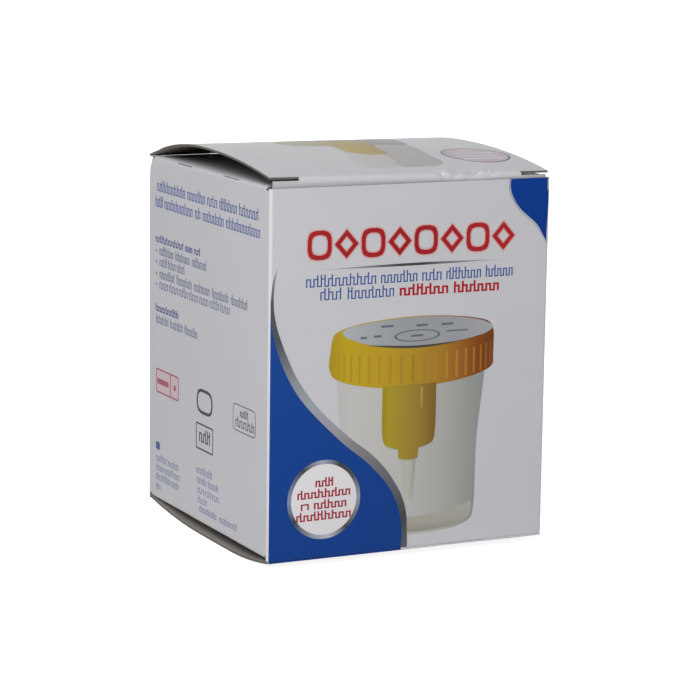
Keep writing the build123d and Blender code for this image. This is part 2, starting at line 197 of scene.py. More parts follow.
def board_finish(name, colour, roughness, relief, mottle, fold_rub_and_highlight_level):
    """Board surface: colour with faint patches, folds paled by rubbing and a painted highlight, and a fine
    relief of fibres.
    """
    material = bpy.data.materials.new(name)
    material.use_nodes = True
    tree = material.node_tree
    tree.nodes.clear()
    place = add(tree, "ShaderNodeTexCoord").outputs["Object"]
    patches = add(tree, "ShaderNodeTexNoise", {},
                  {"Vector": place, "Scale": 1 / UNEVEN, "Detail": 2.0})
    fibres = add(tree, "ShaderNodeTexNoise", {},
                 {"Vector": place, "Scale": 1 / FIBRE, "Detail": 3.0})
    shade = add(tree, "ShaderNodeMapRange", {},
                {"Value": patches.outputs[0], "From Min": 0.3, "From Max": 0.7,
                 "To Min": 1 - mottle, "To Max": 1 + mottle})
    sides = add(tree, "ShaderNodeSeparateXYZ", {}, {0: place})
    across = add(tree, "ShaderNodeMath", {"operation": "ABSOLUTE"}, {0: sides.outputs["X"]})
    deep = add(tree, "ShaderNodeMath", {"operation": "ABSOLUTE"}, {0: sides.outputs["Y"]})
    fold = add(tree, "ShaderNodeMath", {"operation": "MINIMUM"},
               {0: across.outputs[0], 1: deep.outputs[0]})
    # Painted highlight: the folds between the walls are lightened for the light a rounded fold catches, as
    # well as for rubbed coat.
    fold_rub_and_highlight = add(tree, "ShaderNodeMapRange", {},
               {"Value": fold.outputs[0], "From Min": FOLD_FROM, "From Max": FOLD_FROM + 0.3 * MM,
                "To Min": 0.0, "To Max": fold_rub_and_highlight_level})
    bright = add(tree, "ShaderNodeMath", {"operation": "ADD"},
                 {0: shade.outputs[0], 1: fold_rub_and_highlight.outputs[0]})
    tint = add(tree, "ShaderNodeHueSaturation", {},
               {"Color": linear(colour), "Value": bright.outputs[0]})
    bump = add(tree, "ShaderNodeBump", {},
               {"Height": fibres.outputs[0], "Distance": relief, "Strength": 0.5})
    surface = add(tree, "ShaderNodeBsdfPrincipled", {},
                  {"Base Color": tint.outputs[0], "Roughness": roughness, "IOR": 1.5,
                   "Specular IOR Level": 0.05, "Normal": bump.outputs[0]})
    add(tree, "ShaderNodeOutputMaterial", {}, {"Surface": surface.outputs[0]})
    return material


# The 0.14 pales the coat's folds: rubbed coat and painted highlight.
varnished_coat = board_finish("varnished_coated_board", "#BEBDC1", 0.45, 0.004 * MM, 0.012, 0.14)
bare_board = board_finish("bare_grey_board", "#8F8A84", 0.85, 0.03 * MM, 0.03, 0.0)
# Cut edges are darker than the grey board they are cut from: pulp, darkened further as painted shade on
# the edges and in the slits.
cut_edge_with_shade = board_finish("cut_board_edge_painted_shade", "#6A655F", 0.9, 0.03 * MM, 0.03, 0.0)

WALL_TOP = 85.6             # millimetres over the table
WALL_HALF = 35.0            # where the walls' outer faces lie
LID_HALF = 34.8
HINGE_LINE = 34.75          # how far back the lid's hinge lies
CURL = 14.0                 # how far the curl of the back left corner reaches
CURL_DOWN = 1.6             # and how far down the walls
WALL_CURL = 0.7
LID_CURL = 0.9
ASKEW = 1.0                 # how much lower the lid's right edge sits, at its front
ASKEW_FROM = 30.0           # how far in front of the hinge that starts to show in full
CRUSHED_LINE = -33.0        # middle of the lid's crushed front crease
CRUSHED_REACH = 2.6
TUCK_BELOW = 80.0           # the tuck hangs below this height and isn't crushed
DENTS = (                   # place along the lid's front crease, depth, half width, slant
    (8.2, 0.60, 1.5, -0.5),
    (10.9, 0.75, 1.5, 0.6),
    (15.6, 0.65, 4.4, 0.1),
    (20.0, 0.50, 1.3, 0.8),
)


def curled(point, pull):
    """Where a point is, once the back left corner has curled in, in millimetres."""
    x, y, z = point
    below = WALL_TOP - min(z, WALL_TOP)
    away = (x + WALL_HALF) ** 2 + (y - WALL_HALF) ** 2
    corner = exp(-away / CURL ** 2) * exp(-below / CURL_DOWN)
    return Vector((x + pull * corner, y - 0.5 * pull * corner, z))


def wall_settled(point):
    """Where a point of the carton has moved to in use."""
    return curled(point, WALL_CURL)


def lid_settled(point):
    """The same for the lid, which sits askew and is crushed at its front crease."""
    free = min(1, max(0, (HINGE_LINE - point[1]) / 3))
    x, y, z = curled(point, LID_CURL * free)
    askew = min(1, (HINGE_LINE - y) / ASKEW_FROM)
    z -= ASKEW / 2 * (x / LID_HALF + 1) * askew
    front = exp(-((y - CRUSHED_LINE) / CRUSHED_REACH) ** 2) if z > TUCK_BELOW else 0
    for place, depth, reach, slant in DENTS:
        off = abs(x - place - slant * (y + 34)) / reach
        z -= depth * front * max(0, 1 - off)
        y += 0.4 * depth * front * max(0, 1 - off)
    return Vector((x, y, z))


hinges = {j["child"]: Vector(j["pos_m"]) for j in frame["record"]["behaviour"]["joints"]}
skins = {}                  # outside of each piece of board, to lay print on
HINGE_EDGE = ("lid_board", "bottom_flap_board")     # pieces with the coat round their hinge edge


def board_copy(node, name, body, move, *cuts):
    """Copy of a CAD node of board, cut fine where it bends, with its three finishes."""
    mesh = bmesh.new()
    mesh.from_mesh(frame["nodes"][node].data)
    bmesh.ops.remove_doubles(mesh, verts=mesh.verts, dist=0.001 * MM)
    bmesh.ops.dissolve_limit(mesh, angle_limit=radians(0.2), verts=mesh.verts, edges=mesh.edges)
    for step, low, high in cuts:
        for axis in range(3):
            normal = Vector([float(i == axis) for i in range(3)])
            count = ceil((high[axis] - low[axis]) / step)
            for i in range(count + 1):
                place = low[axis] + (high[axis] - low[axis]) * i / count
                near = [f for f in mesh.faces if all(
                    min(v.co[k] for v in f.verts) < high[k] * MM
                    and max(v.co[k] for v in f.verts) > low[k] * MM for k in range(3))]
                edges = list({e for f in near for e in f.edges})
                bmesh.ops.bisect_plane(mesh, geom=near + edges, dist=1e-7,
                                       plane_co=normal * place * MM, plane_no=normal)
    bmesh.ops.triangulate(mesh, faces=[f for f in mesh.faces if len(f.verts) > 4])
    tree = BVHTree.FromBMesh(mesh)
    middle = Vector((0, 0, (cad_low.z + cad_high.z) / 2))
    for face in mesh.faces:
        centre = face.calc_center_median()
        behind = tree.ray_cast(centre - face.normal * 0.01 * MM, -face.normal)[3]
        outside = face.normal.dot(centre - middle) > 0
        face.material_index = 2 if behind is None or behind > 1.6 * BOARD_THICKNESS else 1 - outside
        if name in HINGE_EDGE and (centre - hinges[body]).yz.length < 0.7 * BOARD_THICKNESS:
            face.material_index = 0 if abs(face.normal.x) < 0.5 else 2
    for vertex in mesh.verts:
        vertex.co = move(vertex.co / MM) * MM
    smooth_folds(mesh)
    skins[node] = BVHTree.FromBMesh(mesh)
    piece = new_piece(name, mesh, (varnished_coat, bare_board, cut_edge_with_shade), body)
    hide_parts(node)
    return piece


def smooth_folds(mesh):
    """Rounds the look of bends, and leaves the edges of the board sharp."""
    for face in mesh.faces:
        face.smooth = True
    for edge in mesh.edges:
        if len(edge.link_faces) == 2:
            edge.smooth = edge.calc_face_angle() < radians(28)


def new_piece(name, mesh, materials, body):
    """Object from a bmesh, which rides on a body and takes a finish from a slot."""
    data = bpy.data.meshes.new(name)
    mesh.to_mesh(data)
    mesh.free()
    for material in materials:
        data.materials.append(material)
    piece = bpy.data.objects.new(name, data)
    scene.collection.objects.link(piece)
    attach(piece, body)
    return piece


board_copy("carton", "carton_board", "carton", wall_settled,
           (3.0, (-35.1, 10, 76), (-14, 35.1, 85.7)))
board_copy("lid", "lid_board", "lid", lid_settled,
           (3.0, (-35.1, 10, 84), (-14, 35.1, 92)), (0.8, (4, -35, 76), (24, -26, 92)))
board_copy("bottom_flap", "bottom_flap_board", "bottom_flap", lambda p: Vector(p))


# Printing
# Litho inks under the same varnish as the board, a few hundredths of a millimetre
# thick. Each field is laid on the board's own surface, and later inks lie on top.

INK = 0.015 * MM            # drawn thickness of one ink
GRAIN = 0.25 * MM           # coarse enough to show. A real halftone screen is finer.


def ink(name, stops, start=(0, 0), end=(0, 1), roughness=0.45, gloss=0.05, round_it=False):
    """Printed colour. Several stops shade from start to end on the wall, in millimetres.

    With round_it they go once round start, as on a turned metal ring.
    """
    material = bpy.data.materials.new(name)
    material.use_nodes = True
    tree = material.node_tree
    tree.nodes.clear()
    if len(stops) > 1:
        print_place = add(tree, "ShaderNodeUVMap", {"uv_map": "print"}).outputs[0]
        run = (Vector((*end, 0)) - Vector((*start, 0))) * MM
        moved = add(tree, "ShaderNodeVectorMath", {"operation": "SUBTRACT"},
                    {0: print_place, 1: Vector((*start, 0)) * MM})
        if round_it:
            along = add(tree, "ShaderNodeTexGradient", {"gradient_type": "RADIAL"},
                        {"Vector": moved.outputs[0]}).outputs["Fac"]
        else:
            along = add(tree, "ShaderNodeVectorMath", {"operation": "DOT_PRODUCT"},
                        {0: moved.outputs[0], 1: run / run.length_squared}).outputs["Value"]
        ramp = add(tree, "ShaderNodeValToRGB", {}, {0: along})
        fill_ramp(ramp, stops)
        colour = ramp.outputs[0]
    else:
        colour = linear(stops[0][1])
    place = add(tree, "ShaderNodeTexCoord").outputs["Object"]
    grain = add(tree, "ShaderNodeTexNoise", {},
                {"Vector": place, "Scale": 1 / GRAIN, "Detail": 1.0})
    shade = add(tree, "ShaderNodeMapRange", {},
                {"Value": grain.outputs[0], "To Min": 0.97, "To Max": 1.03})
    tint = add(tree, "ShaderNodeHueSaturation", {}, {"Color": colour, "Value": shade.outputs[0]})
    surface = add(tree, "ShaderNodeBsdfPrincipled", {},
                  {"Base Color": tint.outputs[0], "Roughness": roughness, "IOR": 1.5,
                   "Specular IOR Level": gloss})
    add(tree, "ShaderNodeOutputMaterial", {}, {"Surface": surface.outputs[0]})
    return material


def fill_ramp(ramp, stops):
    """Sets the stops of a colour ramp, each a place from 0 to 1 and a hex colour."""
    elements = ramp.color_ramp.elements
    while len(elements) < len(stops):
        elements.new(1)
    for element, (place, colour) in zip(elements, stops):
        element.position = place
        element.color = linear(colour)


SHOT = 60.0                 # how far out the print starts, in millimetres
FOLD_REACH = 34.55          # print follows the folds no further in than this
WALLS = {                   # node, body, where a point of the print starts, its way to the board
    "front": ("carton", "carton", lambda a, b: Vector((a, -SHOT, b)), Vector((0, 1, 0))),
    "back": ("carton", "carton", lambda a, b: Vector((-a, SHOT, b)), Vector((0, -1, 0))),
    "left": ("carton", "carton", lambda a, b: Vector((-SHOT, a, b)), Vector((1, 0, 0))),
    "right": ("carton", "carton", lambda a, b: Vector((SHOT, -a, b)), Vector((-1, 0, 0))),
    "lid": ("lid", "lid", lambda a, b: Vector((a, b, 2 * SHOT)), Vector((0, 0, -1))),
    "label": ("cap_label", "carton", lambda a, b: Vector((a, b, 2 * SHOT)), Vector((0, 0, -1))),
}
BROAD = ("front", "back")
NARROW = ("left", "right")


def lay(name, flat, walls, layer, material, step=0):
    """Lays a flat mesh of ink, in millimetres, on each wall and gives it its thickness."""
    if step:
        for axis in (0, 1):
            normal = Vector((axis == 0, axis == 1, 0))
            low = min(v.co[axis] for v in flat.verts)
            high = max(v.co[axis] for v in flat.verts)
            places = [low + i * step for i in range(1, ceil((high - low) / step))]
            for place in places + [-FOLD_FROM / MM, FOLD_FROM / MM]:
                geometry = flat.verts[:] + flat.edges[:] + flat.faces[:]
                bmesh.ops.bisect_plane(flat, geom=geometry, dist=1e-5,
                                       plane_co=normal * place, plane_no=normal)
        bmesh.ops.triangulate(flat, faces=flat.faces)
    bmesh.ops.recalc_face_normals(flat, faces=flat.faces)
    made = bmesh.ops.extrude_face_region(flat, geom=flat.faces[:])
    for vertex in made["geom"]:
        if isinstance(vertex, bmesh.types.BMVert):
            vertex.co.z = 1
    spot = flat.loops.layers.uv.new("print")
    for face in flat.faces:
        for loop in face.loops:
            loop[spot].uv = loop.vert.co.xy * MM
    for wall in walls:
        node, body, start, way = WALLS[wall]
        film = flat.copy()
        for vertex in film.verts:
            first = start(vertex.co.x, vertex.co.y) * MM
            hit = skins[node].ray_cast(first, way)
            if hit[0] is None or (node == "carton" and hit[3] > (SHOT - FOLD_REACH) * MM):
                if node != "carton":
                    raise ValueError(f"{name}: no board at {vertex.co.x:.1f}, {vertex.co.y:.1f}")
                board = first + way * (SHOT - WALL_HALF) * MM
            else:
                board = hit[0]
            vertex.co = board - way * INK * (layer + vertex.co.z)
        bmesh.ops.recalc_face_normals(film, faces=film.faces)
        new_piece(f"{name}_{wall}", film, (material,), body)
    flat.free()


def field(*outlines):
    """Flat mesh from closed outlines. A third entry in a point makes it a corner."""
    curve = bpy.data.curves.new("outline", "CURVE")
    curve.dimensions = "2D"
    curve.fill_mode = "BOTH"
    for outline in outlines:
        spline = curve.splines.new("BEZIER")
        spline.bezier_points.add(len(outline) - 1)
        spline.use_cyclic_u = True
        spline.resolution_u = 6
        for point, place in zip(spline.bezier_points, outline):
            point.co = (place[0], place[1], 0)
            kind = "VECTOR" if len(place) > 2 else "AUTO"
            point.handle_left_type = kind
            point.handle_right_type = kind
    shown = bpy.data.objects.new("outline", curve)
    scene.collection.objects.link(shown)
    bpy.context.view_layer.update()
    flat = bmesh.new()
    flat.from_mesh(bpy.data.meshes.new_from_object(shown))
    bpy.data.objects.remove(shown)
    bmesh.ops.remove_doubles(flat, verts=flat.verts, dist=1e-4)
    return flat


def ellipse(a, b, radius_a, radius_b):
    """Outline of an ellipse."""
    steps = 12
    return [(a + radius_a * cos(2 * pi * i / steps), b + radius_b * sin(2 * pi * i / steps))
            for i in range(steps)]


def rounded(a, b, width, height, corner):
    """Outline of a rectangle with rounded corners, round its middle."""
    points = []
    for side_a, side_b, turn in ((1, 1, 0), (-1, 1, 90), (-1, -1, 180), (1, -1, 270)):
        for angle in (0, 45, 90):
            spot = radians(turn + angle)
            points.append((a + side_a * (width / 2 - corner) + corner * cos(spot),
                           b + side_b * (height / 2 - corner) + corner * sin(spot)))
    return [(p[0], p[1], 0) if i % 3 != 1 else p for i, p in enumerate(points)]


def bars(*places):
    """Flat mesh of plain bars. Each is (a0, b0, a1, b1, height)."""
    flat = bmesh.new()
    for a0, b0, a1, b1, height in places:
        flat.faces.new([flat.verts.new(p) for p in (
            (a0, b0, 0), (a1, b1, 0), (a1, b1 + height, 0), (a0, b0 + height, 0))])
    return flat


# Picture of the container, on the front and back walls
# Print in fields of colour: the clear cup, the ribbed cap seen a little from
# above with its label, the tube well with its boss, and the draw tube.

cup_ink = ink("cup_print_grey", [
    (0.0, "#B4B3B1"), (0.10, "#BAB9B6"), (0.3, "#B6B5B1"), (0.5, "#AEAEAC"),
    (0.7, "#A4A39F"), (0.9, "#91928E"), (1.0, "#888983")], (-18.5, 0), (19.3, 0))
lay("cup_picture", field([
    (-18.5, 43.1, 0), (-17.8, 35.2), (-16.7, 23.3), (-15.5, 9.0), (-14.7, 7.3), (-10.1, 6.0),
    (-0.1, 5.4), (8.3, 5.7), (14.4, 6.9), (16.2, 8.1), (16.7, 10.0), (17.25, 26.5), (17.95, 33.2),
    (18.5, 37.6), (19.1, 43.2, 0)]), BROAD, 0, cup_ink)
cup_side_ink = ink("cup_side_print_shadow", [(0.0, "#8F929A"), (1.0, "#84878F")], (0, 43), (0, 8))
lay("cup_side_picture", field([
    (18.75, 43.0, 0), (18.15, 37.6), (17.6, 33.2), (16.95, 26.5), (16.35, 10.0, 0), (16.7, 10.0, 0),
    (17.25, 26.5), (17.95, 33.2), (18.5, 37.6), (19.1, 43.0, 0)]), BROAD, 1, cup_side_ink)
foot_ink = ink("cup_foot_print_grey", [
    (0.0, "#8E8C80"), (0.3, "#9F9D92"), (1.0, "#A3A39C")], (0, 6), (0, 13))
lay("cup_foot_picture", field([
    (-14.95, 8.6), (-10.1, 6.8), (-0.1, 6.0), (8.3, 6.3), (14.0, 7.5), (15.8, 8.95),
    (16.2, 11.9, 0), (8.3, 10.0), (-0.1, 9.6), (-10.1, 10.4), (-15.05, 11.8, 0)]),
    BROAD, 1, foot_ink)

CAP_MIDDLE = 0.62
CAP_HALF = 20.5
CAP_RIBS = 22

cap_ink = ink("cap_print_yellow", [
    (0.0, "#A68C24"), (0.10, "#B59A24"), (0.3, "#B39228"), (0.5, "#A7862B"), (0.65, "#9C762B"),
    (0.78, "#925F28"), (0.9, "#78431C"), (1.0, "#673B1D")], (-20.1, 0), (21.3, 0))
lay("cap_picture", field([
    (-19.9, 49.9), (-19.7, 51.1), (-19.15, 52.5), (-17.9, 53.3), (-15.8, 54.0), (-12.6, 54.65),
    (-7.5, 55.2), (-3.0, 55.5), (1.7, 55.6), (6.6, 55.45), (11.5, 55.05), (16.4, 54.35),
    (20.1, 53.1), (21.0, 51.5), (21.15, 48.5), (21.1, 45.7), (20.9, 43.4), (18.4, 41.9),
    (13.5, 40.65), (6.9, 39.8), (-0.8, 39.55), (-6.6, 39.75), (-10.8, 40.3), (-14.6, 41.05),
    (-17.8, 42.15), (-19.8, 43.6)]), BROAD, 2, cap_ink)

rib_ink = ink("cap_rib_print_tone", [
    (0.0, "#A58B26"), (0.3, "#A98A2A"), (0.5, "#98782A"), (0.62, "#A67A2D"), (0.75, "#AE7831"),
    (0.9, "#A5672D"), (1.0, "#7E4A24")], (-20.1, 0), (21.3, 0))
ribs = bmesh.new()
for i in range(1, CAP_RIBS):
    angle = -pi / 2 + pi * i / CAP_RIBS
    place = CAP_MIDDLE + CAP_HALF * sin(angle)
    width = 0.55 * cos(angle) + 0.12
    top, low = 49.4 - 2.5 * cos(angle), 44.0 - 3.5 * cos(angle)
    corners = [(place - width / 2, low), (place + width / 2, low),
               (place + width / 2, top), (place - width / 2, top)]
    ribs.faces.new([ribs.verts.new((a, b, 0)) for a, b in corners])
lay("cap_ribs_picture", ribs, BROAD, 3, rib_ink)

disc_ink = ink("label_print_white", [
    (0.0, "#A6A9AD"), (0.4, "#929597"), (0.75, "#929498"), (1.0, "#9D9EA2")], (-17, 0), (21, 0))
lay("label_picture", field([
    (-17.1, 53.0), (-15.7, 53.8), (-12.6, 54.45), (-7.5, 55.0), (-3.1, 55.3), (1.7, 55.4),
    (6.6, 55.25), (11.5, 54.85), (16.4, 54.1), (19.8, 53.0), (20.8, 52.1), (19.8, 51.1),
    (16.5, 50.15), (13.2, 49.55), (6.7, 48.9), (0.3, 48.7), (-6.2, 49.15), (-10.9, 49.9),
    (-14.7, 51.15), (-16.7, 52.2)]), BROAD, 4, disc_ink)
shade_ink = ink("label_print_shadow", [(0.0, "#5C573F"), (0.5, "#3C4043"), (1.0, "#5A4638")],
                (-10, 0), (14, 0))
lay("label_shadow_picture", field([
    (-11.3, 49.75, 0), (-6.2, 48.95), (0.3, 48.45), (6.7, 48.65), (14.2, 49.55, 0), (6.7, 49.05),
    (0.3, 48.95), (-6.2, 49.4)]), BROAD, 5, shade_ink)

mark_ink = ink("label_print_marks", [(0.0, "#5F646C")])
marks = field(ellipse(1.5, 51.2, 5.8, 1.35), ellipse(1.5, 51.2, 5.2, 1.12))
for a, b, width, height in ((-11.9, 51.45, 1.6, 0.5), (-8.4, 51.6, 1.9, 0.5), (-6.1, 53.75, 3.0, 0.5),
                            (2.7, 53.5, 2.8, 0.5), (9.1, 53.4, 3.0, 0.5), (1.5, 51.2, 3.0, 0.45),
                            (11.7, 51.75, 5.5, 0.3)):
    corners = [(a - width / 2, b - height / 2), (a + width / 2, b - height / 2),
               (a + width / 2, b + height / 2), (a - width / 2, b + height / 2)]
    marks.faces.new([marks.verts.new((p, q, 0)) for p, q in corners])
lay("label_marks_picture", marks, BROAD, 5, mark_ink)

well_ink = ink("well_print_yellow", [
    (0.0, "#968424"), (0.12, "#A08E2C"), (0.4, "#988332"), (0.7, "#8F7534"), (0.88, "#80642E"),
    (1.0, "#76592B")], (-6.9, 0), (6.8, 0))
lay("well_picture", field([
    (-7.0, 40.1, 0), (-6.7, 27.7), (-6.1, 26.6), (-4.5, 25.8), (-2.9, 25.4, 0), (-2.7, 23.2, 0),
    (-0.1, 22.8), (2.15, 23.1, 0), (2.35, 25.4, 0), (4.6, 26.0), (5.9, 26.8), (6.3, 28.1),
    (6.6, 40.1, 0)]), BROAD, 3, well_ink)
well_glint_ink = ink("well_print_glint", [(0.0, "#B5A070"), (1.0, "#9C8644")], (0, 39.5), (0, 34))
lay("well_glint_picture", bars((2.75, 34.6, 3.05, 34.6, 4.8)), BROAD, 4, well_glint_ink)
tube_ink = ink("tube_print_white", [
    (0.0, "#A8A89F"), (0.3, "#B0B0A6"), (0.65, "#A8A79C"), (1.0, "#929187")], (-1.7, 0), (1.7, 0))
lay("tube_picture", field([
    (-1.7, 23.1, 0), (-1.4, 17.4), (-0.8, 13.6, 0), (0.85, 13.4, 0), (1.25, 17.4), (1.65, 22.9, 0)]),
    BROAD, 2, tube_ink)


# Sweep, badge and corner field
# A blue field sweeps over the lower left corner with a silver edge, and a round
# silver badge lies on it. On the front a blue field fills the upper right corner.

WALL_LOW = 2.62
WALL_HIGH = 85.56
SWEEP_EDGE = 34.62
EDGE = 34.85

silver_ink = ink("sweep_print_silver", [
    (0.0, "#9C9CA2"), (0.05, "#77777C"), (0.10, "#4A4A50"), (0.22, "#4B4D58"), (0.29, "#6A6D72"),
    (0.36, "#858B90"), (0.45, "#9299A0"), (0.56, "#939099"), (0.64, "#7B7C7E"), (0.75, "#66676F"),
    (0.85, "#54565C"), (0.93, "#3D3F40"), (1.0, "#50545A")], (-34, 69), (-1, 4), 0.4, 0.1)
lay("silver_sweep", field([
    (-33.05, 68.3, 0), (-33.65, 65.4), (-33.95, 60.5), (-33.35, 56.1), (-32.0, 51.9),
    (-30.3, 47.8), (-27.8, 42.9), (-24.8, 38.7), (-22.7, 36.2), (-18.55, 32.2), (-14.0, 28.3),
    (-9.8, 25.1), (-6.7, 22.1), (-3.8, 18.3), (-1.6, 14.3), (-0.5, 10.4), (-0.25, 6.9),
    (-0.15, WALL_LOW, 0), (-SWEEP_EDGE, WALL_LOW, 0), (-SWEEP_EDGE, 61, 0), (-34.1, 65.4)]),
    BROAD, 2, silver_ink, step=4)
blue_ink = ink("sweep_print_blue", [(0.0, "#1A448B"), (0.5, "#173F87"), (1.0, "#153B80")],
               (-35, 60), (-2, 4))
lay("blue_sweep", field([
    (-SWEEP_EDGE, 61.0, 0), (-34.4, 55.7), (-33.9, 52.9), (-33.0, 49.8), (-31.8, 46.6),
    (-29.8, 42.6), (-27.4, 38.9), (-24.1, 35.1), (-20.05, 31.1), (-15.95, 27.3), (-11.3, 23.65),
    (-8.0, 20.5), (-5.05, 17.0), (-3.2, 13.5), (-2.1, 10.1), (-1.6, 6.3), (-1.8, WALL_LOW, 0),
    (-SWEEP_EDGE, WALL_LOW, 0)]), BROAD, 3, blue_ink, step=4)

corner_ink = ink("corner_print_blue", [(0.0, "#0F3884"), (1.0, "#0B337F")], (25, 86), (35, 72))
corner_edge_ink = ink("corner_print_silver", [(0.0, "#9096A3"), (1.0, "#A9ABB3")],
                      (25, 86), (35, 72), 0.4, 0.1)
lay("corner_edge", field([
    (24.3, WALL_HIGH, 0), (24.25, 83.4), (24.95, 81.2), (26.6, 78.8), (29.1, 76.5), (31.35, 74.6),
    (33.0, 72.2), (EDGE, 69.4, 0), (EDGE, WALL_HIGH, 0)]), ("front",), 0, corner_edge_ink, step=4)
lay("corner_field", field([
    (24.75, WALL_HIGH, 0), (24.7, 83.6), (25.4, 81.5), (27.0, 79.1), (29.45, 76.9), (31.7, 75.0),
    (33.35, 72.5), (EDGE, 69.9, 0), (EDGE, WALL_HIGH, 0)]), ("front",), 1, corner_ink, step=4)

BADGE_A, BADGE_B = -21.23, 15.55
BADGE_RADIUS = 9.0
BADGE_INSIDE = 8.05
ring_ink = ink("badge_print_silver", [
    (0.0, "#7F8AA8"), (0.09, "#3B3F3E"), (0.2, "#8E949E"), (0.27, "#AFB2BC"), (0.36, "#3E423F"),
    (0.5, "#8C93A0"), (0.6, "#45484A"), (0.68, "#3C403C"), (0.76, "#9BA1B0"), (0.85, "#40443F"),
    (1.0, "#7F8AA8")], (BADGE_A, BADGE_B), roughness=0.4, gloss=0.1, round_it=True)
lay("badge_ring", field(ellipse(BADGE_A, BADGE_B, BADGE_RADIUS, BADGE_RADIUS)), BROAD, 4, ring_ink)
badge_ink = ink("badge_print_white", [(0.0, "#DAD7D9"), (1.0, "#D2D0D3")],
                (BADGE_A - 6, BADGE_B + 6), (BADGE_A + 6, BADGE_B - 6))
lay("badge_disc", field(ellipse(BADGE_A, BADGE_B, BADGE_INSIDE, BADGE_INSIDE)),
    BROAD, 5, badge_ink)


# Heading and lines of marks
# Rows of a plain meander in a few heights and weights, under a row of outlined
# shapes, round and lozenge in turn, with a thin rule between.

def words(stroke, *places):
    """Flat mesh of meander words. Each is (a0, b0, a1, b1, height, letters)."""
    flat = bmesh.new()
    draw = random.Random(7)
    for a0, b0, a1, b1, height, letters in places:
        run = Vector((a1 - a0, b1 - b0, 0))
        along = run.normalized()
        upwards = Vector((-along.y, along.x, 0)) * (1 if a1 > a0 else -1)
        uprights = 2 * letters
        gap = (run.length - uprights * stroke) / (uprights - 1)
        columns = [0]
        for i in range(2 * uprights - 1):
            columns.append(columns[-1] + (gap if i % 2 else stroke))
        low_letter = 0.7 * height
        link = min(0.8 * stroke, 0.25 * low_letter)
        rows = [0, link, low_letter - link, low_letter, height]
        grid = bmesh.new()
        bmesh.ops.create_grid(grid, x_segments=len(columns) - 1, y_segments=len(rows) - 1, size=0.5)
        tall = [draw.random() < 0.2 for _ in columns]
        unwanted = []
        for face in grid.faces:
            spot = face.calc_center_median()
            column = floor((spot.x + 0.5) * (len(columns) - 1))
            row = floor((spot.y + 0.5) * (len(rows) - 1))
            if column % 2:
                keep = row == (2 if column % 4 == 1 else 0)
            else:
                keep = row < 3 or tall[column]
            if not keep:
                unwanted.append(face)
        bmesh.ops.delete(grid, geom=unwanted, context="FACES")
        for vertex in grid.verts:
            column = round((vertex.co.x + 0.5) * (len(columns) - 1))
            row = round((vertex.co.y + 0.5) * (len(rows) - 1))
            vertex.co = Vector((a0, b0, 0)) + columns[column] * along + rows[row] * upwards
        copy = bpy.data.meshes.new("words")
        grid.to_mesh(copy)
        grid.free()
        flat.from_mesh(copy)
        bpy.data.meshes.remove(copy)
    return flat


text_ink = ink("text_print_blue", [(0.0, "#3D5590")])
lay("front_text", words(
    0.34, (-26.2, 63.5, -9.0, 63.5, 2.7, 10), (-7.8, 63.5, 1.3, 63.5, 2.7, 6),
    (2.5, 63.5, 7.4, 63.5, 2.7, 3), (8.6, 63.5, 17.5, 63.5, 2.7, 6),
    (18.7, 63.5, 25.7, 63.5, 2.7, 5),
    (-22.7, 60.5, -17.6, 60.5, 2.7, 3), (-16.0, 60.4, -4.5, 60.4, 2.7, 7)),
    BROAD, 0, text_ink)
strong_ink = ink("text_print_red", [(0.0, "#A01D26")])
lay("front_strong_text", words(
    0.52, (-3.1, 60.4, 9.15, 60.35, 2.6, 6), (10.6, 60.35, 22.2, 60.3, 2.6, 6)),
    BROAD, 0, strong_ink)

rule_ink = ink("rule_print", [
    (0.0, "#B2B1B5"), (0.2, "#8B8B90"), (0.42, "#46464B"), (0.55, "#3E3E44"), (0.75, "#7E7E84"),
    (1.0, "#B0AFB4")], (-23.9, 0), (24.1, 0))
lay("rule", field([(-23.9, 67.3, 0), (0.1, 67.72), (24.1, 67.35, 0), (0.1, 67.12)]),
    BROAD, 0, rule_ink)

SHAPES = 8
SHAPE_WIDTH = 5.85
SHAPE_HEIGHT = 6.5
SHAPE_PITCH = (51.9 - SHAPE_WIDTH) / (SHAPES - 1)
STROKE = 1.0
halo_ink = ink("heading_print_halo", [(0.0, "#C69A97")])
heading_ink = ink("heading_print_red", [(0.0, "#9E2529"), (0.5, "#941F25"), (1.0, "#A3262B")],
                  (-26, 0), (26, 0))


def heading(grow):
    """Row of outlined shapes, round and lozenge in turn."""
    outlines = []
    for i in range(SHAPES):
        a = -25.9 + SHAPE_WIDTH / 2 + SHAPE_PITCH * i
        b = 72.75
        for inset in (-grow, STROKE + grow):
            half_a, half_b = SHAPE_WIDTH / 2, SHAPE_HEIGHT / 2
            if i % 2:
                share = 1 - inset * hypot(1 / half_a, 1 / half_b)
                outlines.append([(a - half_a * share, b, 0), (a, b + half_b * share, 0),
                                 (a + half_a * share, b, 0), (a, b - half_b * share, 0)])
            else:
                outlines.append(rounded(
                    a, b, 2 * (half_a - inset), 2 * (half_b - inset), 2.0 - 0.6 * inset))
    return field(*outlines)


lay("heading_halo", heading(0.28), BROAD, 0, halo_ink)
lay("heading", heading(0), BROAD, 1, heading_ink)

badge_text_ink = ink("badge_print_red", [(0.0, "#9A3440")])
lay("badge_text", words(
    0.42, (-23.4, 18.5, -19.0, 18.5, 2.1, 3), (-27.8, 15.95, -14.7, 16.1, 2.1, 8),
    (-26.9, 13.4, -24.9, 13.45, 2.1, 1), (-23.7, 13.45, -15.65, 13.5, 2.1, 5),
    (-28.0, 10.85, -14.5, 11.0, 2.1, 8)), BROAD, 6, badge_text_ink)


# Side walls
# Rows of the same meander in small sizes, with four bullets and plain outlined
# boxes below them.

SHARE = 0.86                # of a word's room that it fills, the rest is the space after it


def small_lines(*lines):
    """Rows of small words. Each line is (a0, a1, b, height, words)."""
    places = []
    for a0, a1, b, height, count in lines:
        step = (a1 - a0) / count
        letters = max(2, round(abs(step) / 1.75))
        for i in range(count):
            places.append((a0 + i * step, b, a0 + (i + SHARE) * step, b, height, letters))
    return places


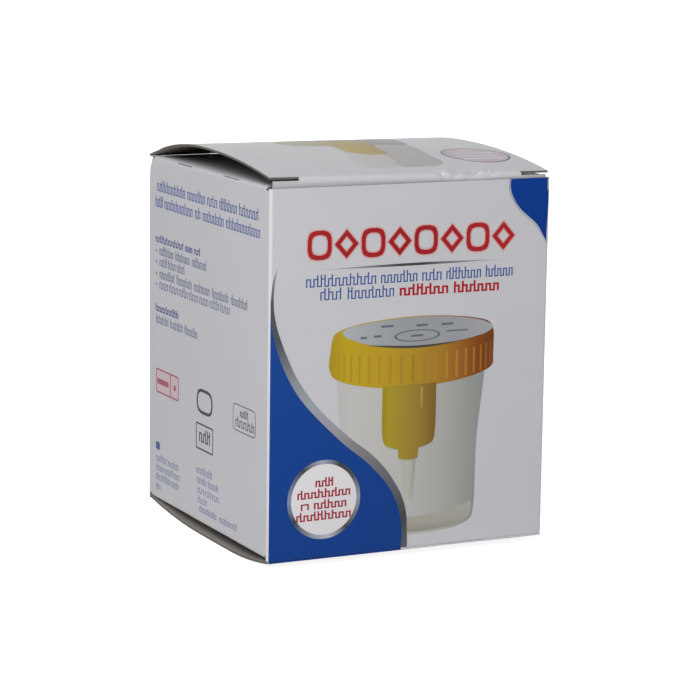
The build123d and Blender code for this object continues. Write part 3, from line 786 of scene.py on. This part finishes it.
lay("side_text", words(
    0.36, (29.7, 77.95, 12.6, 77.95, 2.7, 10), (11.1, 77.95, 0.9, 77.95, 2.7, 6),
    (-0.5, 77.95, -6.1, 77.95, 2.7, 3), (-7.5, 77.95, -17.2, 77.95, 2.7, 6),
    (-18.5, 77.95, -28.8, 77.95, 2.7, 6),
    (30.6, 74.15, 26.1, 74.15, 2.7, 3), (25.0, 74.15, 8.1, 74.15, 2.7, 10),
    (6.6, 74.15, 3.5, 74.15, 2.7, 2), (2.1, 74.15, -9.9, 74.15, 2.7, 7),
    (-11.3, 74.15, -29.9, 74.15, 2.7, 11)), NARROW, 0, text_ink)
dark_ink = ink("text_print_dark_blue", [(0.0, "#4A5684")])
lay("side_headings", words(
    0.44, (30.6, 65.7, 13.6, 65.7, 1.85, 9), (12.4, 65.7, 8.1, 65.7, 1.85, 3),
    (7.1, 65.7, 3.7, 65.7, 1.85, 2), (30.5, 49.0, 16.4, 49.0, 1.9, 8)),
    NARROW, 0, dark_ink)
small_ink = ink("small_text_print", [(0.0, "#69708C")])
lay("side_small_text", words(0.36, *small_lines(
    (28.1, -1.5, 62.75, 2.3, 3), (28.1, 12.1, 60.1, 2.3, 3), (28.1, -24.7, 57.2, 2.3, 5),
    (28.1, -14.4, 54.65, 2.3, 7), (30.2, 3.7, 46.15, 2.2, 3))), NARROW, 0, small_ink)
foot_text_ink = ink("foot_text_print", [(0.0, "#7C83A0")])
lay("side_foot_text", words(0.34, *small_lines(
    (30.0, 15.1, 12.4, 1.8, 2), (30.0, 14.7, 10.1, 1.8, 3), (30.2, 15.5, 7.8, 1.8, 3),
    (30.2, 26.8, 5.4, 1.7, 1), (5.3, -5.4, 14.6, 1.8, 1), (4.9, -8.6, 12.3, 1.8, 2),
    (4.5, -8.6, 9.9, 1.8, 3), (4.1, -1.9, 7.6, 1.8, 1), (3.3, -19.8, 5.6, 1.7, 2))),
    NARROW, 0, foot_text_ink)
lay("side_bullets", bars(*[(30.4, b, 29.7, b, 0.6) for b in (63.3, 60.7, 57.8, 55.2)]),
    NARROW, 0, small_ink)

red_box_ink = ink("box_print_red", [(0.0, "#9A5560")])
red_tint_ink = ink("box_print_pink", [(0.0, "#C2AFB4")])
lay("side_red_tint", field(rounded(23.1, 32.25, 14.2, 5.9, 0.7)), NARROW, 0, red_tint_ink)
lay("side_red_box", field(
    rounded(23.1, 32.25, 14.2, 5.9, 0.7), rounded(23.1, 32.25, 13.5, 5.2, 0.5)),
    NARROW, 1, red_box_ink)
lay("side_red_box_fill", bars(
    (21.35, 29.6, 20.95, 29.6, 5.3), (29.4, 31.5, 22.3, 31.5, 1.3), (19.1, 31.5, 17.9, 31.5, 1.2)),
    NARROW, 1, red_box_ink)
box_ink = ink("box_print_black", [(0.0, "#3E4049")])
lay("side_square_box", field(
    rounded(0.45, 23.55, 10.1, 6.3, 0.5), rounded(0.45, 23.55, 9.3, 5.5, 0.3)),
    NARROW, 0, box_ink)
lay("side_square_box_fill", words(0.5, (3.6, 22.3, -2.7, 22.3, 3.2, 3)), NARROW, 0, box_ink)
thin_box_ink = ink("box_print_grey", [(0.0, "#5B5D66")])
lay("side_round_box", field(
    rounded(-22.05, 32.1, 12.5, 6.2, 1.2), rounded(-22.05, 32.1, 12.0, 5.7, 1.0)),
    NARROW, 0, thin_box_ink)
lay("side_round_box_fill", words(
    0.4, (-19.7, 32.5, -24.0, 32.5, 1.9, 3), (-17.3, 30.0, -27.6, 30.0, 2.4, 5)),
    NARROW, 0, thin_box_ink)
lay("side_mark", field(rounded(0.5, 32.0, 9.4, 5.9, 2.6), rounded(0.5, 32.0, 7.9, 4.4, 2.0)),
    NARROW, 0, box_ink)
lay("side_small_mark", field(rounded(28.95, 16.2, 2.5, 1.9, 0.5)), NARROW, 0, dark_ink)


# Lid print
# The same picture and badge, smaller, with the picture's foot towards the front.

lid_cup_ink = ink("lid_cup_print_grey", [
    (0.0, "#B9B8B8"), (0.42, "#B2B1B0"), (0.44, "#A5A3A2"), (1.0, "#A3A0A1")],
    (-9, 0), (14, 0))
lay("lid_cup_picture", field([
    (-5.4, 3.0, 0), (-6.0, -9.8), (-8.1, -19.2), (-9.0, -26.6), (-8.2, -27.9), (-0.5, -28.3),
    (10.8, -27.2), (12.1, -26.0), (13.3, -16.5), (14.7, -7.3), (15.6, 3.0, 0)]),
    ("lid",), 0, lid_cup_ink, step=2.5)
lid_yellow_ink = ink("lid_well_print_yellow", [
    (0.0, "#A59A60"), (0.3, "#A2914F"), (0.75, "#9E8A55"), (1.0, "#968272")], (-5, 0), (6, 0))
lay("lid_well_picture", field([
    (-4.2, 2.0, 0), (-4.6, -6.7), (-4.8, -11.2), (-3.0, -13.9), (0.5, -15.3), (3.2, -14.3),
    (4.8, -12.4), (4.4, -9.7), (7.0, -0.6), (7.4, 2.0, 0)]), ("lid",), 1, lid_yellow_ink, step=2.5)
lid_cap_ink = ink("lid_cap_print_olive", [
    (0.0, "#A6A392"), (0.3, "#9D9673"), (0.45, "#9F8E58"), (0.66, "#9C8861"), (0.75, "#8B8686"),
    (1.0, "#95929A")], (-13, 0), (16.5, 0))
lay("lid_cap_picture", field([
    (-13.2, 1.6), (-12.6, 12.0), (-7.0, 15.0), (2.6, 16.0), (11.8, 14.6), (16.6, 11.6),
    (16.6, 2.0), (15.0, -1.6), (9.0, -0.6), (1.5, -1.6), (-6.0, -0.9)]),
    ("lid",), 2, lid_cap_ink, step=2.5)
lay("lid_disc_picture", field(ellipse(1.6, 11.4, 12.0, 3.0)), ("lid",), 3, disc_ink, step=2.5)
lid_tube_ink = ink("lid_tube_print_grey", [(0.0, "#A99FA0"), (0.3, "#BDB9B8"), (1.0, "#B5B2B1")],
                   (0.3, 0), (2.0, 0))
lay("lid_tube_picture", field([
    (0.9, -15.1, 0), (0.2, -24.0, 0), (1.3, -24.0, 0), (2.3, -15.1, 0)]), ("lid",), 1, lid_tube_ink,
    step=2.5)
LID_BADGE = (24.8, -17.9)
lid_ring_ink = ink("lid_badge_print_grey", [(0.0, "#6C6D76"), (1.0, "#5E5F69")], (17, 0), (33, 0))
lid_badge_ink = ink("lid_badge_print_pink", [(0.0, "#AFA4AB"), (1.0, "#B3A9B0")], (17, 0), (33, 0))
pale_ink = ink("lid_badge_print_pale", [(0.0, "#C3BEC6")])
lay("lid_badge_ring", field(ellipse(*LID_BADGE, 8.1, 8.1)), ("lid",), 0, lid_ring_ink, step=2.5)
lay("lid_badge_disc", field(ellipse(*LID_BADGE, 7.6, 7.6)), ("lid",), 1, lid_badge_ink, step=2.5)
lay("lid_badge_text", bars(
    (22.8, -13.6, 27.2, -13.6, 1.0), (20.0, -16.6, 30.4, -16.6, 1.0),
    (19.4, -19.6, 30.2, -19.6, 1.1), (19.4, -22.6, 30.0, -22.6, 1.2)),
    ("lid",), 2, pale_ink, step=2.5)
# White marks on the crushed front crease: partly cracked coat and partly a painted highlight where the
# crumpled board catches the light.
crack_and_highlight_ink = ink("cracked_coat_and_painted_highlight", [(0.0, "#DAD8D8")])
lay("lid_crack_and_highlight_marks", field(
    [(20.9, -31.6), (20.5, -33.0), (19.7, -33.5), (20.2, -32.2)],
    [(18.6, -32.9), (17.9, -33.4), (17.0, -33.4), (17.6, -32.9)],
    [(9.6, -32.2), (8.6, -33.2), (7.9, -33.4), (8.6, -32.4)],
    [(11.6, -30.8), (11.1, -32.9), (10.7, -33.1), (10.9, -31.2)]), ("lid",), 0, crack_and_highlight_ink)


# Creases at the hinges
# The board runs on through each crease, so a narrow strip of the same coat closes
# the gap beside the wall, and the blue runs round the bottom flap's rounded edge.

def crease_strip(name, low, high, material):
    """Thin strip along a crease, with rounded edges, between two corners in millimetres."""
    mesh = bmesh.new()
    bmesh.ops.create_cube(mesh, size=1)
    middle = (Vector(low) + Vector(high)) / 2
    for vertex in mesh.verts:
        vertex.co = (middle + vertex.co * (Vector(high) - Vector(low))) * MM
    bmesh.ops.bevel(mesh, geom=mesh.edges[:], offset=0.03 * MM, segments=1, profile=0.5,
                    affect="EDGES", material=-1)
    return new_piece(name, mesh, (material,), "carton")


STRIP_HALF = 34.6
SWEEP_END = -1.7            # where the blue ends along the front crease

crease_strip("back_crease", (-STRIP_HALF, 34.55, 85.55), (STRIP_HALF, 34.8, 85.7), varnished_coat)
crease_strip("front_crease_blue", (-STRIP_HALF, -34.98, 2.446), (SWEEP_END, -34.55, 2.61), blue_ink)
crease_strip("front_crease_plain", (SWEEP_END, -34.98, 2.446), (STRIP_HALF, -34.55, 2.61),
             varnished_coat)

round_edge = bmesh.new()
hinge = hinges["bottom_flap"]
rim = [round_edge.verts.new((x * MM, hinge.y, hinge.z + radius * MM))
       for x, radius in ((-STRIP_HALF, 0.25), (SWEEP_END, 0.25), (SWEEP_END, 0.265), (-STRIP_HALF, 0.265))]
start = round_edge.faces.new(rim)
bmesh.ops.spin(round_edge, geom=[start, *rim, *start.edges], cent=hinge, axis=(1, 0, 0),
               angle=radians(170), steps=10, use_merge=False, use_duplicate=False)
bmesh.ops.recalc_face_normals(round_edge, faces=round_edge.faces)
fold_blue_ink = ink("fold_print_blue", [(0.0, "#153A7E")])
new_piece("bottom_fold_blue", round_edge, (fold_blue_ink,), "bottom_flap")


# Specimen container inside
# Injection-moulded pieces: a translucent polypropylene cup, a yellow polyethylene
# cap with its well, a printed label, and the needle with its sleeve and tube.

def moulded(name, colour, roughness, grain, relief, **sockets):
    """Moulded or drawn surface with the fine texture of its tool."""
    material = bpy.data.materials.new(name)
    material.use_nodes = True
    tree = material.node_tree
    tree.nodes.clear()
    place = add(tree, "ShaderNodeTexCoord").outputs["Object"]
    texture = add(tree, "ShaderNodeTexNoise", {}, {"Vector": place, "Scale": 1 / grain, "Detail": 2.0})
    shade = add(tree, "ShaderNodeMapRange", {},
                {"Value": texture.outputs[0], "To Min": 0.97, "To Max": 1.03})
    tint = add(tree, "ShaderNodeHueSaturation", {},
               {"Color": linear(colour), "Value": shade.outputs[0]})
    bump = add(tree, "ShaderNodeBump", {},
               {"Height": texture.outputs[0], "Distance": relief, "Strength": 0.5})
    surface = add(tree, "ShaderNodeBsdfPrincipled", {},
                  {"Base Color": tint.outputs[0], "Roughness": roughness,
                   "Normal": bump.outputs[0], **sockets})
    add(tree, "ShaderNodeOutputMaterial", {}, {"Surface": surface.outputs[0]})
    return material


finishes = {
    "specimen_cup": moulded("natural_polypropylene", "#DCE2E0", 0.3, 1.5 * MM, 0.005 * MM,
                            **{"IOR": 1.49, "Transmission Weight": 0.75}),
    "screw_cap": moulded("yellow_polyethylene", "#E6AE1E", 0.38, 0.8 * MM, 0.01 * MM,
                         **{"IOR": 1.51, "Subsurface Weight": 0.15}),
    "cap_label": moulded("printed_label_film", "#E6E6E8", 0.45, 0.4 * MM, 0.002 * MM, **{"IOR": 1.5}),
    "needle": moulded("drawn_stainless_steel", "#C9CACC", 0.28, 0.3 * MM, 0.002 * MM,
                      **{"Metallic": 1.0}),
    "needle_sleeve": moulded("natural_rubber", "#B8B1A4", 0.7, 0.5 * MM, 0.02 * MM, **{"IOR": 1.52}),
    "draw_tube": moulded("white_polyethylene", "#EDEFEE", 0.45, 0.8 * MM, 0.01 * MM, **{"IOR": 1.51}),
}
for node, finish in finishes.items():
    frame["nodes"][node].material_slots[0].material = finish

label = bmesh.new()
label.from_mesh(frame["nodes"]["cap_label"].data)
skins["cap_label"] = BVHTree.FromBMesh(label)
label.free()
label_ink = ink("cap_label_print_grey", [(0.0, "#5F646C")])
lay("cap_label_marks", field(
    ellipse(0, 0, 8.2, 8.2), ellipse(0, 0, 7.5, 7.5), rounded(0, 0, 7.0, 1.2, 0.5),
    rounded(-17.0, 2.0, 4.0, 1.6, 0.6), rounded(-10.5, 14.5, 5.0, 1.8, 0.6),
    rounded(1.5, 19.0, 5.0, 1.8, 0.6), rounded(12.5, 14.0, 5.0, 1.8, 0.6),
    rounded(16.0, 3.0, 9.0, 0.9, 0.4)), ("label",), 0, label_ink)


# Sizes, and the end

scene.view_settings.view_transform = "Standard"
low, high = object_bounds()
